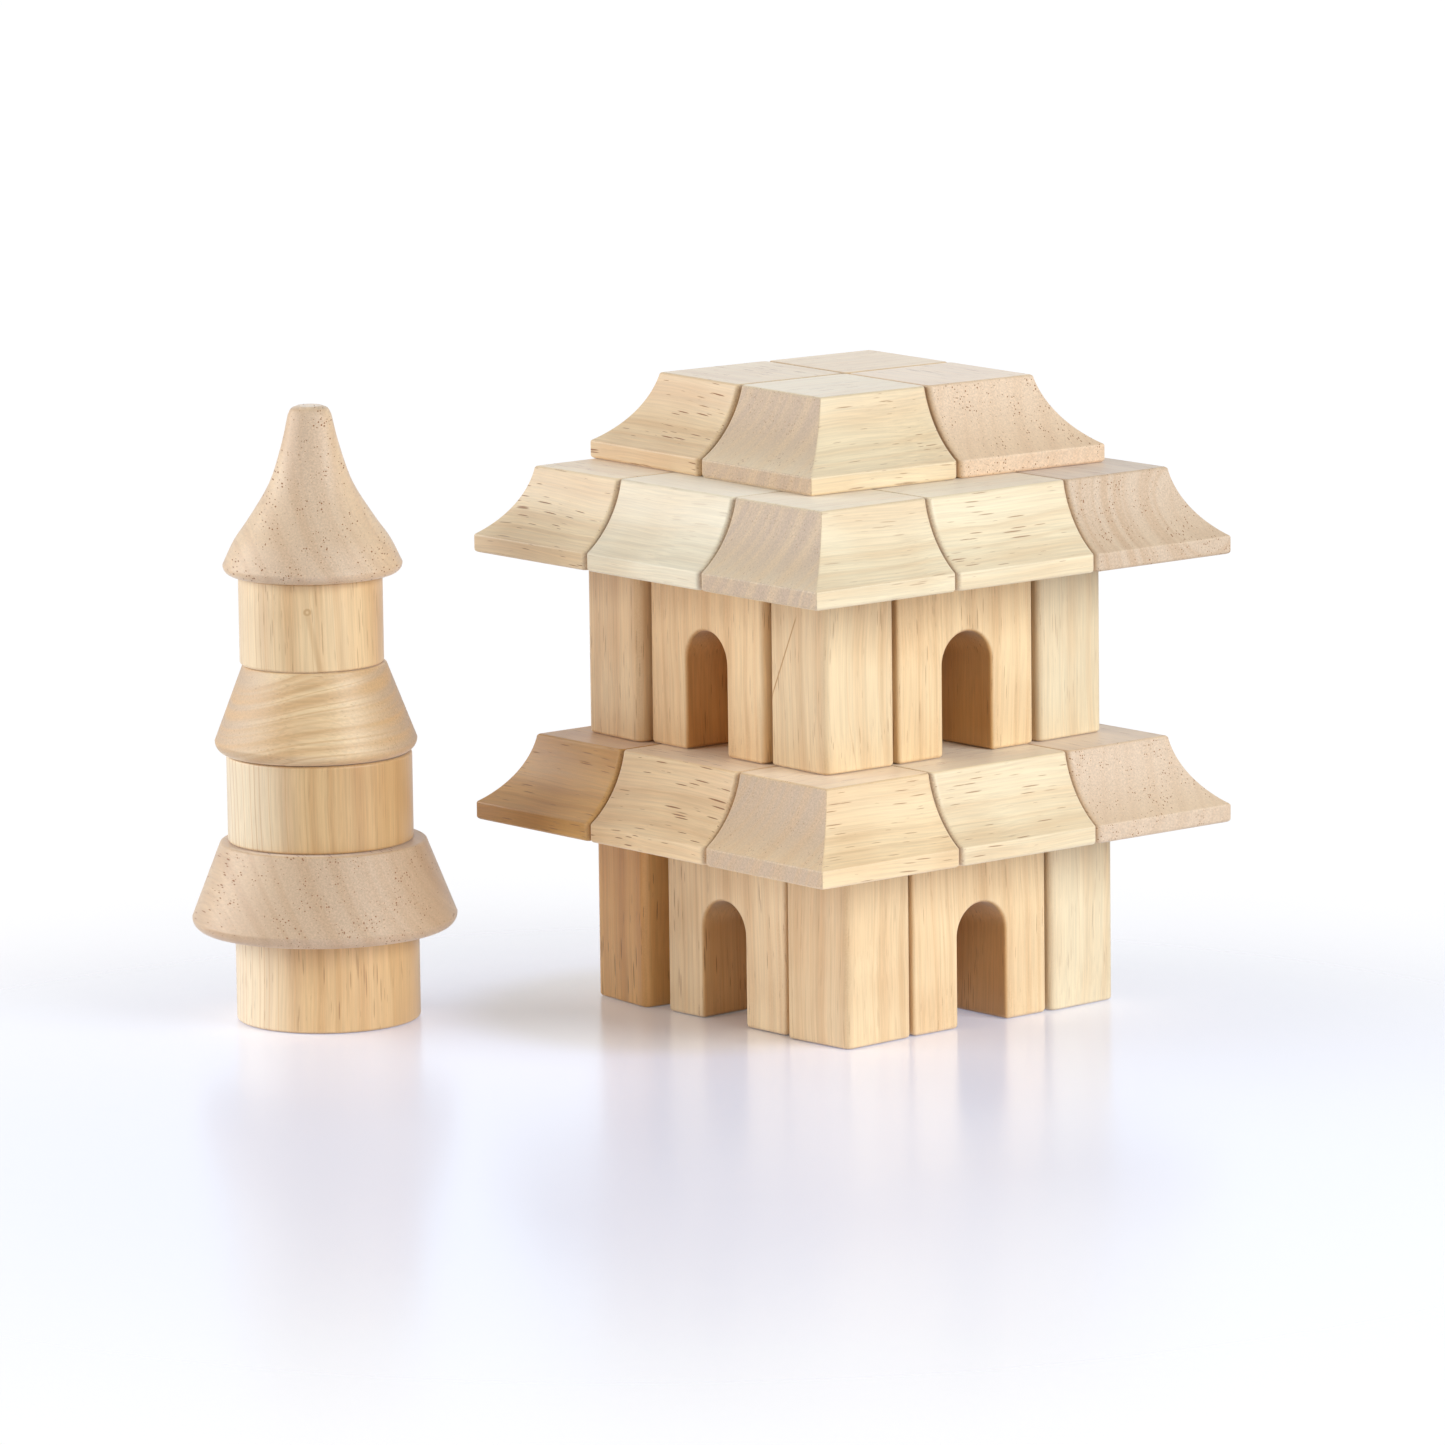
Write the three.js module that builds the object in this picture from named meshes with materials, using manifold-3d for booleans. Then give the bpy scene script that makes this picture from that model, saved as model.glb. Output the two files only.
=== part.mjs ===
// A set of loose wooden building blocks stacked as two small towers, side by side.
// The square pagoda has two storeys of corner posts and arch blocks, two rings of coved eave blocks
// and four roof caps. The round tower is a stack of six turned pieces. Nothing is glued.
// Millimetres, +Z up, the pagoda's walls along X and Y. Front is -Y, right is +X.
import * as THREE from "three";
import { mergeVertices } from "three/addons/utils/BufferGeometryUtils.js";
import Module from "manifold-3d";

const wasm = await Module();
wasm.setup();

// Square blocks
const POST_SIDE = 24.6;
const ARCH_WIDTH = 49.3;
const WALL_HEIGHT = 50.7;
const DOOR_WIDTH = 17.8;
const DOOR_HEIGHT = 34.2;
const DOOR_STEPS = 12;
const POST_ROUND = 2.2; // on a post's upright edges
const ARCH_ROUND = 1.4;
const END_EASE = 0.8; // small chamfer where a face meets the next

// Coved blocks
const EAVE_PITCH = 50;
const EAVE_SIDE = 49.7;
const EAVE_HEIGHT = 24.45;
const EAVE_COVE = 12.4; // how far the cove runs in from the rim to the flat top
const CAP_PITCH = 51.3;
const CAP_SIDE = 50.9;
const CAP_HEIGHT = 24.5;
const CAP_COVE = 14.2;
const LIP_HEIGHT = 5; // upright rim under the cove
const COVE_SAG = 0.1; // depth of the cove as a share of its chord
const COVE_STEPS = 10;

// Round pieces: the height, and the radii of the foot, of the top and of the foot's rounded edge
const ROUND = {
  round_base: { height: 25.5, foot: 25.6, top: 25.6, rim: 0.9 },
  round_lower_skirt: { height: 24.75, foot: 36.9, top: 28.6, rim: 3.6 },
  round_middle_drum: { height: 24.75, foot: 25.8, top: 25.8, rim: 0.9 },
  round_middle_skirt: { height: 25, foot: 28.1, top: 19.9, rim: 3.6 },
  round_upper_drum: { height: 25, foot: 20, top: 20, rim: 0.9 },
};
const TOP_EASE = 0.9; // rounding of a round piece's upper edge
const SPIRE_HEIGHT = 46.75;
const SPIRE_FOOT = 24.9;
const SPIRE_RIM = 2.8;
const SPIRE_TIP = 6; // radius where the flank ends
const SPIRE_CROWN = 2.4; // height of the rounded tip above it
const ROUND_SIDES = 44;
const RIM_STEPS = 4;
const EASE_STEPS = 2;
const FLANK_STEPS = 14;

// Heights of the storeys and rings above the table. Sawn faces meet only in places, so a little
// air is left between one level and the next.
const AIR = 0.05;
const LOWER_EAVE_Z = WALL_HEIGHT + AIR;
const UPPER_WALL_Z = LOWER_EAVE_Z + EAVE_HEIGHT + AIR;
const UPPER_EAVE_Z = UPPER_WALL_Z + WALL_HEIGHT + AIR;
const ROOF_Z = UPPER_EAVE_Z + EAVE_HEIGHT + AIR;

// Where the stacking hand left each level: [x, y, turn in degrees]
const LOWER_RING = [0, 0, 0];
const UPPER_RING = [-1.8, 2, -0.6];
const ROOF = [-11.2, 8.8, -3.2];
const ROUND_FOOT = [-82, -122.6];
const LEAN = new THREE.Vector2(0.64, 0.77); // direction in which the round pieces sit off their axis
const ROUND_OFFSETS = {
  round_base: 0,
  round_lower_skirt: -0.6,
  round_middle_drum: -1.3,
  round_middle_skirt: -2.1,
  round_upper_drum: -2.8,
  round_spire: -2.1,
};

// Wall blocks: [x, y, turn in degrees, door's shift along the block]
const LOWER_WALL = {
  post_front_right: [40.6, -36.6, 3.6],
  post_front_left: [-40.3, -38.1, -6],
  post_back_right: [38.9, 39.7, 3],
  post_back_left: [-39.4, 39.4, 1.5],
  arch_front: [2.2, -36.3, 1.3, -1],
  arch_right: [39.4, 1.6, 0.9, 0.7],
  arch_back: [0.2, 38.2, 0.9, 0],
  arch_left: [-38.6, 1.4, -0.8, 0],
};
const UPPER_WALL = {
  post_front_right: [35.2, -36.9, -1.5],
  post_front_left: [-41.3, -39.1, -3],
  post_back_right: [33.9, 40.4, 3],
  post_back_left: [-42.2, 39.2, -2],
  arch_front: [-3, -37.5, -1.3, 0],
  arch_right: [35, 1.2, 0.2, 0.5],
  arch_back: [-4.3, 38.4, -0.6, 0],
  arch_left: [-39.5, 0.2, 1, 0],
};

// Sides and corners of the square: the turn that brings the front one there
const SIDES = { front: 0, right: 90, back: 180, left: 270 };
const CORNERS = { front_right: 0, back_right: 90, back_left: 180, front_left: 270 };

const woods = {
  cream: new THREE.MeshStandardMaterial({ color: 0xe6c795, roughness: 0.55, metalness: 0 }),
  pale: new THREE.MeshStandardMaterial({ color: 0xeeddb4, roughness: 0.55, metalness: 0 }),
  rosy: new THREE.MeshStandardMaterial({ color: 0xd9b48a, roughness: 0.55, metalness: 0 }),
};
const woodOf = {
  lower_post_back_right: "pale",
  upper_post_back_right: "pale",
  lower_eave_middle_right: "pale",
  upper_eave_middle_right: "pale",
  upper_eave_middle_front: "pale",
  upper_eave_corner_front_right: "pale",
  upper_eave_corner_back_right: "rosy",
  lower_eave_corner_back_right: "rosy",
  roof_cap_back_right: "rosy",
  round_lower_skirt: "rosy",
  round_spire: "rosy",
};

const set = new THREE.Group();

function addBlock(parent, name, geometry) {
  const wood = woods[woodOf[name] ?? "cream"].clone();
  const mesh = new THREE.Mesh(geometry, wood);
  mesh.name = name;
  parent.add(mesh);
  return mesh;
}

function place(object, [x, y, turn], z) {
  object.position.set(x, y, z);
  object.rotation.z = THREE.MathUtils.degToRad(turn);
}

// Rectangle from (-width/2, low) to (width/2, high) with rounded corners.
function roundedRectangle(width, low, high, radius) {
  const half = width / 2;
  const shape = new THREE.Shape();
  shape.moveTo(-half + radius, low);
  shape.lineTo(half - radius, low);
  shape.absarc(half - radius, low + radius, radius, -Math.PI / 2, 0, false);
  shape.absarc(half - radius, high - radius, radius, 0, Math.PI / 2, false);
  shape.absarc(-half + radius, high - radius, radius, Math.PI / 2, Math.PI, false);
  shape.absarc(-half + radius, low + radius, radius, Math.PI, 1.5 * Math.PI, false);
  return shape;
}

// Extrusion of the given full length with eased end edges, from 0 to length along Z.
function easedExtrusion(shape, length) {
  const geometry = new THREE.ExtrudeGeometry(shape, {
    depth: length - 2 * END_EASE,
    bevelEnabled: true,
    bevelSize: END_EASE,
    bevelOffset: -END_EASE,
    bevelThickness: END_EASE,
    bevelSegments: 1,
    curveSegments: 3,
  });
  return geometry.translate(0, 0, END_EASE);
}

function postGeometry() {
  const half = POST_SIDE / 2;
  return easedExtrusion(roundedRectangle(POST_SIDE, -half, half, POST_ROUND), WALL_HEIGHT);
}

// An arch block's front outline: a rectangle with a round-headed doorway cut up from its foot.
function archOutline(doorShift) {
  const half = ARCH_WIDTH / 2;
  const doorRadius = DOOR_WIDTH / 2;
  const left = doorShift - doorRadius;
  const right = doorShift + doorRadius;
  const round = ARCH_ROUND;
  const shape = new THREE.Shape();
  shape.moveTo(-half, 0);
  shape.lineTo(left, 0);
  shape.lineTo(left, DOOR_HEIGHT - doorRadius);
  for (let i = 1; i < DOOR_STEPS; i++) {
    const angle = Math.PI * (1 - i / DOOR_STEPS);
    const height = DOOR_HEIGHT - doorRadius + doorRadius * Math.sin(angle);
    shape.lineTo(doorShift + doorRadius * Math.cos(angle), height);
  }
  shape.lineTo(right, DOOR_HEIGHT - doorRadius);
  shape.lineTo(right, 0);
  shape.lineTo(half, 0);
  shape.lineTo(half, WALL_HEIGHT - round);
  shape.lineTo(half - round, WALL_HEIGHT);
  shape.lineTo(-half + round, WALL_HEIGHT);
  shape.lineTo(-half, WALL_HEIGHT - round);
  return shape;
}

function archGeometry(doorShift) {
  const geometry = easedExtrusion(archOutline(doorShift), POST_SIDE);
  return geometry.rotateX(Math.PI / 2).translate(0, POST_SIDE / 2, 0);
}

// Side view of a coved block: out along X from its inner face at 0, up along Y.
function coveOutline(side, height, cove) {
  const rise = height - LIP_HEIGHT;
  const chord = Math.hypot(cove, rise);
  const half = 2 * Math.atan(2 * COVE_SAG); // half the arc's angle
  const radius = chord / 2 / Math.sin(half);
  const lean = Math.atan2(rise, cove);
  const middle = new THREE.Vector2(side - cove / 2, LIP_HEIGHT + rise / 2);
  const toCentre = new THREE.Vector2(Math.sin(lean), Math.cos(lean));
  const centre = middle.addScaledVector(toCentre, radius * Math.cos(half));
  const start = Math.atan2(LIP_HEIGHT - centre.y, side - centre.x);
  const shape = new THREE.Shape();
  shape.moveTo(0, 0);
  shape.lineTo(side, 0);
  shape.lineTo(side, LIP_HEIGHT);
  for (let i = 1; i < COVE_STEPS; i++) {
    const angle = start - (2 * half * i) / COVE_STEPS;
    shape.lineTo(centre.x + radius * Math.cos(angle), centre.y + radius * Math.sin(angle));
  }
  shape.lineTo(side - cove, height);
  shape.lineTo(0, height);
  return shape;
}

// Coved prism with its cove facing -Y, its inner face on Y = 0, and its length centred on X.
function covedPrism(side, height, cove) {
  const shape = coveOutline(side, height, cove);
  const geometry = new THREE.ExtrudeGeometry(shape, { depth: side, bevelEnabled: false });
  geometry.translate(0, 0, -side / 2);
  geometry.rotateX(Math.PI / 2);
  return geometry.rotateZ(-Math.PI / 2);
}

function solidOf(geometry) {
  const bare = geometry.clone();
  bare.deleteAttribute("normal");
  bare.deleteAttribute("uv");
  const merged = mergeVertices(bare, 1e-4);
  const mesh = new wasm.Mesh({
    numProp: 3,
    vertProperties: new Float32Array(merged.attributes.position.array),
    triVerts: new Uint32Array(merged.index.array),
  });
  return new wasm.Manifold(mesh);
}

function geometryOf(solid) {
  const mesh = solid.getMesh();
  const geometry = new THREE.BufferGeometry();
  geometry.setAttribute("position", new THREE.BufferAttribute(mesh.vertProperties, 3));
  geometry.setIndex(new THREE.BufferAttribute(mesh.triVerts, 1));
  geometry.computeVertexNormals();
  return geometry;
}

// Corner block: what two coved prisms at right angles share. Its coves face -Y and +X and meet in
// a mitre, and its inner corner stands at the origin.
function covedCorner(side, height, cove) {
  const front = covedPrism(side, height, cove).translate(side / 2, 0, 0);
  const right = covedPrism(side, height, cove).rotateZ(Math.PI / 2).translate(0, -side / 2, 0);
  return geometryOf(solidOf(front).intersect(solidOf(right)));
}

// Quarter circle round (x, y) from straight down or level, as points from start to a quarter on.
function quarterRound(x, y, radius, start, steps) {
  const points = [];
  for (let i = 0; i <= steps; i++) {
    const angle = start + (i / steps) * (Math.PI / 2);
    points.push(new THREE.Vector2(x + radius * Math.cos(angle), y + radius * Math.sin(angle)));
  }
  return points;
}

// Turned piece with straight flanks and rounded edges, as a profile from axis to axis.
function turnedGeometry({ height, foot, top, rim }) {
  const profile = [
    new THREE.Vector2(0, 0),
    ...quarterRound(foot - rim, rim, rim, -Math.PI / 2, RIM_STEPS),
    ...quarterRound(top - TOP_EASE, height - TOP_EASE, TOP_EASE, 0, EASE_STEPS),
    new THREE.Vector2(0, height),
  ];
  return new THREE.LatheGeometry(profile, ROUND_SIDES).rotateX(Math.PI / 2);
}

// The spire: a round rim, a hollow flank that steepens towards the tip, and a small blunt tip.
function spireGeometry() {
  const rim = quarterRound(SPIRE_FOOT - SPIRE_RIM, SPIRE_RIM, SPIRE_RIM, -Math.PI / 2, RIM_STEPS);
  const flank = new THREE.SplineCurve([
    rim.pop(),
    new THREE.Vector2(21.7, 9.4),
    new THREE.Vector2(17.4, 15.6),
    new THREE.Vector2(11.6, 25.2),
    new THREE.Vector2(8.1, 35.5),
    new THREE.Vector2(SPIRE_TIP, SPIRE_HEIGHT - SPIRE_CROWN),
  ]);
  const profile = [
    new THREE.Vector2(0, 0),
    ...rim,
    ...flank.getPoints(FLANK_STEPS),
    new THREE.Vector2(SPIRE_TIP * 0.85, SPIRE_HEIGHT - SPIRE_CROWN / 3),
    new THREE.Vector2(SPIRE_TIP * 0.57, SPIRE_HEIGHT),
    new THREE.Vector2(0, SPIRE_HEIGHT),
  ];
  return new THREE.LatheGeometry(profile, ROUND_SIDES).rotateX(Math.PI / 2);
}

function addWall(storey, places, z) {
  for (const [name, spot] of Object.entries(places)) {
    const [kind, side] = name.split("_");
    const geometry = kind === "post" ? postGeometry() : archGeometry(spot[3]);
    const block = addBlock(set, `${storey}_${name}`, geometry);
    const quarterTurn = kind === "arch" ? SIDES[side] : 0;
    place(block, [spot[0], spot[1], spot[2] + quarterTurn], z);
  }
}

function addEaveRing(storey, spot, z) {
  const ring = new THREE.Group();
  place(ring, spot, z);
  const inner = (EAVE_PITCH - (EAVE_SIDE - EAVE_PITCH)) / 2;
  for (const [corner, turn] of Object.entries(CORNERS)) {
    const geometry = covedCorner(EAVE_SIDE, EAVE_HEIGHT, EAVE_COVE);
    geometry.translate(inner, -inner, 0).rotateZ(THREE.MathUtils.degToRad(turn));
    addBlock(ring, `${storey}_eave_corner_${corner}`, geometry);
  }
  for (const [side, turn] of Object.entries(SIDES)) {
    const geometry = covedPrism(EAVE_SIDE, EAVE_HEIGHT, EAVE_COVE);
    geometry.translate(0, -inner, 0).rotateZ(THREE.MathUtils.degToRad(turn));
    addBlock(ring, `${storey}_eave_middle_${side}`, geometry);
  }
  set.add(ring);
}

function addRoof(spot, z) {
  const roof = new THREE.Group();
  place(roof, spot, z);
  const inner = CAP_PITCH - CAP_SIDE;
  for (const [corner, turn] of Object.entries(CORNERS)) {
    const geometry = covedCorner(CAP_SIDE, CAP_HEIGHT, CAP_COVE);
    geometry.translate(inner, -inner, 0).rotateZ(THREE.MathUtils.degToRad(turn));
    addBlock(roof, `roof_cap_${corner}`, geometry);
  }
  set.add(roof);
}

function addRoundTower() {
  let z = 0;
  for (const [name, offset] of Object.entries(ROUND_OFFSETS)) {
    const geometry = name === "round_spire" ? spireGeometry() : turnedGeometry(ROUND[name]);
    const piece = addBlock(set, name, geometry);
    place(piece, [ROUND_FOOT[0] + offset * LEAN.x, ROUND_FOOT[1] + offset * LEAN.y, 0], z);
    z += ROUND[name]?.height ?? 0;
  }
}

addWall("lower", LOWER_WALL, 0);
addEaveRing("lower", LOWER_RING, LOWER_EAVE_Z);
addWall("upper", UPPER_WALL, UPPER_WALL_Z);
addEaveRing("upper", UPPER_RING, UPPER_EAVE_Z);
addRoof(ROOF, ROOF_Z);
addRoundTower();

// The origin is the middle of the whole set's footprint, on the table.
const centre = new THREE.Box3().setFromObject(set, true).getCenter(new THREE.Vector3());
set.position.set(-centre.x, -centre.y, 0);

const model = new THREE.Group();
model.add(set);

export default model;
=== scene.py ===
"""Looks for a set of unpainted rubberwood blocks, stacked as a square pagoda and a round tower.

Every CAD node is replaced by a finely shaped block of the same size in the same place, with
rounded edges and a solid rubberwood grain that runs the way the block was sawn or turned.
"""

import cmath
import math
import random

import bmesh
import bpy
from mathutils import Matrix, Vector


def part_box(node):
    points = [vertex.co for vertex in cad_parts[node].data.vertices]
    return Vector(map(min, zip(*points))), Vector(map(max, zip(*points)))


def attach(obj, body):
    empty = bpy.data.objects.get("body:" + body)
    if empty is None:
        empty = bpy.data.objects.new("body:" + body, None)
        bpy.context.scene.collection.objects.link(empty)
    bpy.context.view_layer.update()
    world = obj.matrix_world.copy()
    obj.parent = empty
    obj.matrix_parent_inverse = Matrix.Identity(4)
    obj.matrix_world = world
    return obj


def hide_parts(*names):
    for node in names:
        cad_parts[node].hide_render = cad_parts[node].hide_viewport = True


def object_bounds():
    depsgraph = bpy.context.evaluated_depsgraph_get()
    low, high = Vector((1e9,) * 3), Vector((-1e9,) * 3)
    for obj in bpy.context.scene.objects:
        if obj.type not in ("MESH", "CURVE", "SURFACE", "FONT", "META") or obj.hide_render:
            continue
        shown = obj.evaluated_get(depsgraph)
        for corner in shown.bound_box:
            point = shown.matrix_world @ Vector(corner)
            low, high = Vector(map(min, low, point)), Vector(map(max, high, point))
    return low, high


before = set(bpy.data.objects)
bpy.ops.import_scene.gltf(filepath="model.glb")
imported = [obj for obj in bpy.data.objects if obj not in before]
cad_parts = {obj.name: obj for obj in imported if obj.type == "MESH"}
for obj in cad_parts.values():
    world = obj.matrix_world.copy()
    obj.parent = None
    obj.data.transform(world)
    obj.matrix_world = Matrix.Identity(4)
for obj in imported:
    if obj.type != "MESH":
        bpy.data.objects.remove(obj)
cad_low, cad_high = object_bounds()

MM = 0.001

# Edge rounding, in millimetres
POST_CORNER = 2.2  # a post's upright edges
POST_END = 0.9
ARCH_FACE = 1.1  # all round an arch block's two faces
ARCH_TOP = 1.5
ARCH_FOOT = 1.2
SEAM_CORNER = 1.7  # a coved block's upright edges beside its neighbours
MITRE_CORNER = 0.35
EAVE_FOOT = 1.0
EAVE_TOP = 1.0
TOP_SIDE = 0.5  # along a coved block's top, beside its neighbours
LIP_SHOULDER = 0.8  # where the upright rim turns into the cove
HIGHLIGHT_RADIUS = 3.0  # smaller roundings than this get a painted highlight

# Shapes that the blocks' boxes don't tell, in millimetres
LIP_HEIGHT = 5.0
EAVE_COVE = 12.4
CAP_COVE = 14.2
COVE_SAG = 0.1  # depth of the cove as a share of its chord
DOOR_WIDTH = 17.8
DOOR_HEIGHT = 34.2
DOOR_SHIFT = {"lower_arch_front": -1.0, "lower_arch_right": 0.7, "upper_arch_right": 0.5}
DRUM_EDGE = 0.9
SKIRT_RIM = 3.6
SKIRT_TOP = {"round_lower_skirt": 28.6, "round_middle_skirt": 19.9}  # radius
SPIRE_RIM = 2.8
SPIRE_FLANK = ((21.7, 9.4), (17.4, 15.6), (11.6, 25.2), (8.1, 35.5))  # (radius, height)
SPIRE_TIP = 6.0  # radius where the flank ends
SPIRE_CROWN = 2.4  # height of the blunt tip above the flank
CROWN_SHOULDER = (0.9, 0.8)  # how far in from the flank's end and down from the top it is
CROWN_INSET = 2.6  # from the flank's end to the rim of the flat top
HEAD_SLACK = 0.01  # keeps the two arcs of a doorway's head from meeting in one point
CURVE_CLEARANCE = 0.3  # between the cove's own points and the roundings at its ends

# Mesh fineness
ARC_STEPS = 5
COVE_STEPS = 18
COVE_LEAD = 3  # steps into the cove at which the roundings at its ends aim
DOOR_STEPS = 14
LATHE_STEPS = 112
RIM_STEPS = 8
FLANK_STEPS = 6
CROWN_STEPS = 5

SIDES = {"front": 0, "right": 90, "back": 180, "left": 270}
CORNERS = {"front_right": 0, "back_right": 90, "back_left": 180, "front_left": 270}


# ---- Outlines ----------------------------------------------------------------------------------

def arc_points(centre, radius, start, end, steps):
    points = []
    for i in range(steps + 1):
        angle = start + (end - start) * i / steps
        points.append(centre + radius * Vector((math.cos(angle), math.sin(angle))))
    return points


def rounded_corner(before, corner, after, radius, steps):
    """The arc of that radius that rounds off a corner, as steps + 1 points."""
    back = (before - corner).normalized()
    ahead = (after - corner).normalized()
    half = back.angle(ahead) / 2
    start = corner + back * (radius / math.tan(half))
    centre = corner + (back + ahead).normalized() * (radius / math.sin(half))
    sweep = math.pi - 2 * half
    if back.cross(ahead) > 0:
        sweep = -sweep
    angle = math.atan2(start.y - centre.y, start.x - centre.x)
    return arc_points(centre, radius, angle, angle + sweep, steps)


def marked(arc, radius):
    """(point, edge) pairs along a rounding. edge is 1 in the middle of a small one, where a
    highlight is painted, and 0 at its ends and all along a large one."""
    if radius >= HIGHLIGHT_RADIUS:
        return [(point, 0.0) for point in arc]
    last = len(arc) - 1
    return [(point, math.sin(math.pi * k / last)) for k, point in enumerate(arc)]


def rounded_outline(corners):
    """Closed outline from (x, y, radius, steps) corners, as (point, edge) pairs."""
    outline = []
    places = [Vector(c[:2]) for c in corners]
    for i, (_, _, radius, steps) in enumerate(corners):
        after = places[(i + 1) % len(places)]
        arc = rounded_corner(places[i - 1], places[i], after, radius, steps)
        outline += marked(arc, radius)
    return outline


def box_outline(x0, x1, y0, y1, radii):
    """Rounded rectangle, its corners in the order (x0, y0), (x1, y0), (x1, y1), (x0, y1)."""
    places = ((x0, y0), (x1, y0), (x1, y1), (x0, y1))
    return rounded_outline([(*p, r, ARC_STEPS) for p, r in zip(places, radii)])


def end_rounding(radius):
    """(depth, inset, edge) steps of a quarter-round edge, from the end face inwards."""
    steps = []
    for i in range(ARC_STEPS + 1):
        angle = math.pi / 2 * i / ARC_STEPS
        inset = radius * (1 - math.sin(angle))
        steps.append((radius * (1 - math.cos(angle)), inset, math.sin(2 * angle)))
    return steps


# ---- Meshes ------------------------------------------------------------------------------------

def loft(name, rings):
    """Closed mesh through rings of (point, edge) pairs in millimetres, with flat end caps."""
    mesh_maker = bmesh.new()
    edge_layer = mesh_maker.verts.layers.float.new("edge")
    rows = []
    for ring in rings:
        row = []
        for point, edge in ring:
            vertex = mesh_maker.verts.new(Vector(point) * MM)
            vertex[edge_layer] = edge
            row.append(vertex)
        rows.append(row)
    for low, high in zip(rows, rows[1:]):
        for i in range(len(low)):
            j = (i + 1) % len(low)
            mesh_maker.faces.new((low[i], low[j], high[j], high[i]))
    mesh_maker.faces.new(list(reversed(rows[0])))
    mesh_maker.faces.new(rows[-1])
    bmesh.ops.recalc_face_normals(mesh_maker, faces=mesh_maker.faces)
    mesh = bpy.data.meshes.new(name)
    mesh_maker.to_mesh(mesh)
    mesh_maker.free()
    for face in mesh.polygons:
        face.use_smooth = True
    return mesh


def flat_ring(outline, z, edge):
    return [((p.x, p.y, z), max(e, edge)) for p, e in outline]


def post_mesh(name, size):
    half = size.x / 2
    ends = end_rounding(POST_END)
    levels = ends + [(size.z - depth, inset, edge) for depth, inset, edge in reversed(ends)]
    rings = []
    for z, inset, edge in levels:
        reach = half - inset
        outline = box_outline(-reach, reach, -reach, reach, [POST_CORNER - inset] * 4)
        rings.append(flat_ring(outline, z, edge))
    return loft(name, rings)


def arch_outline(size, shift, inset):
    """An arch block's front outline, drawn in by inset all round, the doorway included."""
    reach = size.x / 2 - inset
    top = size.z - inset
    left = shift - DOOR_WIDTH / 2 - inset
    right = shift + DOOR_WIDTH / 2 + inset
    head = DOOR_HEIGHT + inset
    head_radius = DOOR_WIDTH / 2 + inset - HEAD_SLACK
    foot = ARCH_FOOT - inset
    shoulder = ARCH_TOP - inset
    return rounded_outline([
        (-reach, inset, foot, ARC_STEPS),
        (left, inset, foot, ARC_STEPS),
        (left, head, head_radius, DOOR_STEPS),
        (right, head, head_radius, DOOR_STEPS),
        (right, inset, foot, ARC_STEPS),
        (reach, inset, foot, ARC_STEPS),
        (reach, top, shoulder, ARC_STEPS),
        (-reach, top, shoulder, ARC_STEPS),
    ])


def arch_mesh(name, size, shift):
    ends = end_rounding(ARCH_FACE)
    levels = ends + [(size.y - depth, inset, edge) for depth, inset, edge in reversed(ends)]
    rings = []
    for depth, inset, edge in levels:
        y = depth - size.y / 2
        outline = arch_outline(size, shift, inset)
        rings.append([((p.x, y, p.y), max(e, edge)) for p, e in outline])
    return loft(name, rings)


def cove_profile(side, height, cove):
    """(reach, z, edge) up a coved block's outer face, from its foot to its flat top."""
    base = Vector((side, 0))
    lip = Vector((side, LIP_HEIGHT))
    brow = Vector((side - cove, height))
    chord = brow - lip
    half = 2 * math.atan(2 * COVE_SAG)
    radius = chord.length / 2 / math.sin(half)
    outward = Vector((chord.y, -chord.x)).normalized()
    centre = (lip + brow) / 2 + outward * radius * math.cos(half)
    start = math.atan2(lip.y - centre.y, lip.x - centre.x)
    curve = arc_points(centre, radius, start, start - 2 * half, COVE_STEPS)
    foot = rounded_corner(Vector((0, 0)), base, lip, EAVE_FOOT, ARC_STEPS)
    shoulder = rounded_corner(base, lip, curve[COVE_LEAD], LIP_SHOULDER, ARC_STEPS)
    top_middle = Vector((0, height))
    top = rounded_corner(curve[-1 - COVE_LEAD], brow, top_middle, EAVE_TOP, ARC_STEPS)
    low = shoulder[-1].y + CURVE_CLEARANCE
    high = top[0].y - CURVE_CLEARANCE
    pairs = marked(foot, EAVE_FOOT) + marked(shoulder, LIP_SHOULDER)
    pairs += [(p, 0.0) for p in curve if low < p.y < high]
    pairs += marked(top, EAVE_TOP)
    return [(p.x, p.y, edge) for p, edge in pairs]


def side_inset(z, height):
    """How far the flat sides are drawn in near the foot and the top, as a quarter round."""
    for depth, radius in ((z, EAVE_FOOT), (height - z, TOP_SIDE)):
        if depth < radius:
            return radius - math.sqrt(max(0.0, radius**2 - (radius - depth) ** 2))
    return 0.0


def coved_middle_mesh(name, size, cove):
    """Cove facing -Y, length along X."""
    half = size.x / 2
    rings = []
    for reach, z, edge in cove_profile(size.y, size.z, cove):
        inset = side_inset(z, size.z)
        back = size.y / 2 - inset
        front = size.y / 2 - reach
        corner = SEAM_CORNER - inset
        outline = box_outline(-half + inset, half - inset, front, back, [corner] * 4)
        rings.append(flat_ring(outline, z, edge))
    return loft(name, rings)


def coved_corner_mesh(name, size, cove):
    """Coves facing -Y and +X that meet in a mitre; the inner corner is at (-X, +Y)."""
    half = size.x / 2
    rings = []
    for reach, z, edge in cove_profile(size.x, size.z, cove):
        inset = side_inset(z, size.z)
        corner = SEAM_CORNER - inset
        inner = -half + inset
        outer = reach - half
        radii = (corner, MITRE_CORNER, corner, corner)
        outline = box_outline(inner, outer, -outer, -inner, radii)
        rings.append(flat_ring(outline, z, edge))
    return loft(name, rings)


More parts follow.
